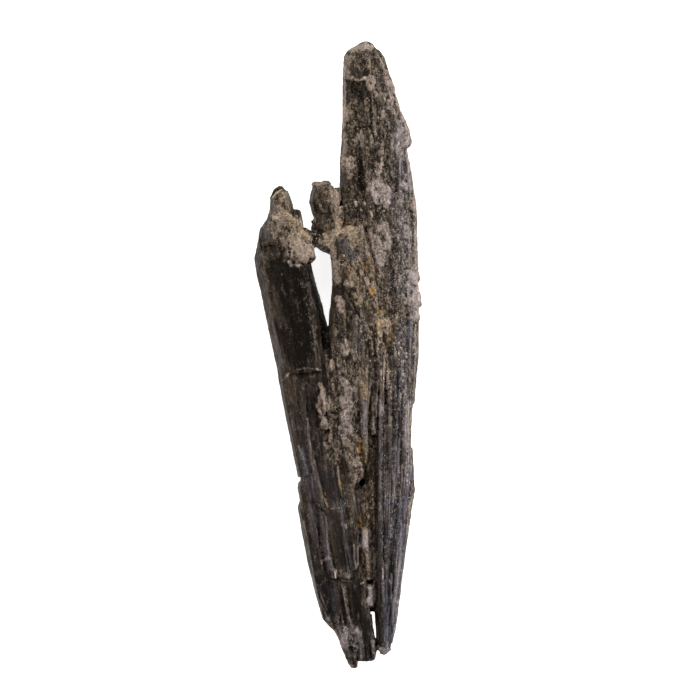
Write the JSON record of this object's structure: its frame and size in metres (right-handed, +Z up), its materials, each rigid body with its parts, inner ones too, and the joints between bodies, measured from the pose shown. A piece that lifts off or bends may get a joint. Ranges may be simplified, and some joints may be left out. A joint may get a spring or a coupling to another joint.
{
  "type": "black kyanite crystal cluster",
  "caption": "Natural cluster of flat, striated black crystals grown side by side, with pale mica crust, a long tapering blade, a shorter side blade and a narrow split foot, lying on its back.",
  "frame": {"origin": "middle of the outline, on the flat cleavage the cluster lies on", "axes": "+Y along the long blade towards its tip, +X towards the straight right side, +Z up, out of the pictured face"},
  "size_m": [0.027, 0.1002, 0.0099],
  "materials": {
    "kyanite": "rough, striated along its length, with pale crust"
  },
  "bodies": {
    "root": {"kyanite_cluster": "kyanite"}
  },
  "joints": []
}
